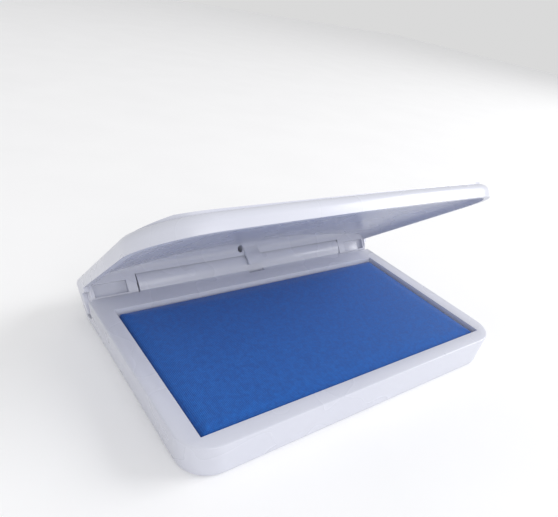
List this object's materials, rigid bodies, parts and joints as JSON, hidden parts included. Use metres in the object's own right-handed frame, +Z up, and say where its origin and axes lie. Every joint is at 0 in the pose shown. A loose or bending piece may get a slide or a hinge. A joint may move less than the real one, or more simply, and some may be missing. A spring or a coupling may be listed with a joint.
{
  "type": "stamp ink pad",
  "caption": "Desk ink pad: a flat plastic case with a hinged crowned lid over a cloth-covered inked felt pad.",
  "frame": {"origin": "middle of the underside of the base case", "axes": "+X along the long side, to the right when the front edge faces the user; +Y to the hinge; +Z up"},
  "size_m": [0.0992, 0.0725, 0.0498],
  "materials": {
    "case_plastic": "semi-gloss moulded, pale lavender grey",
    "tray_plastic": "satin moulded",
    "inked_felt": "felt soaked with blue ink",
    "inked_cloth": "fine woven cotton soaked with blue ink",
    "pin_steel": "drawn wire"
  },
  "bodies": {
    "base": {"base_case": "case_plastic", "bottom_plate": "case_plastic", "pad_tray": "tray_plastic", "ink_felt": "inked_felt", "pad_cloth": "inked_cloth", "hinge_pin_left": "pin_steel", "hinge_pin_right": "pin_steel"},
    "lid": {"lid_shell": "case_plastic"}
  },
  "joints": [
    {"name": "lid_hinge", "type": "hinge", "parent": "base", "child": "lid", "pos_m": [0, 0.03015, 0.0087], "axis": [-1, 0, 0], "range_deg": [-35.1, 59.9]}
  ]
}
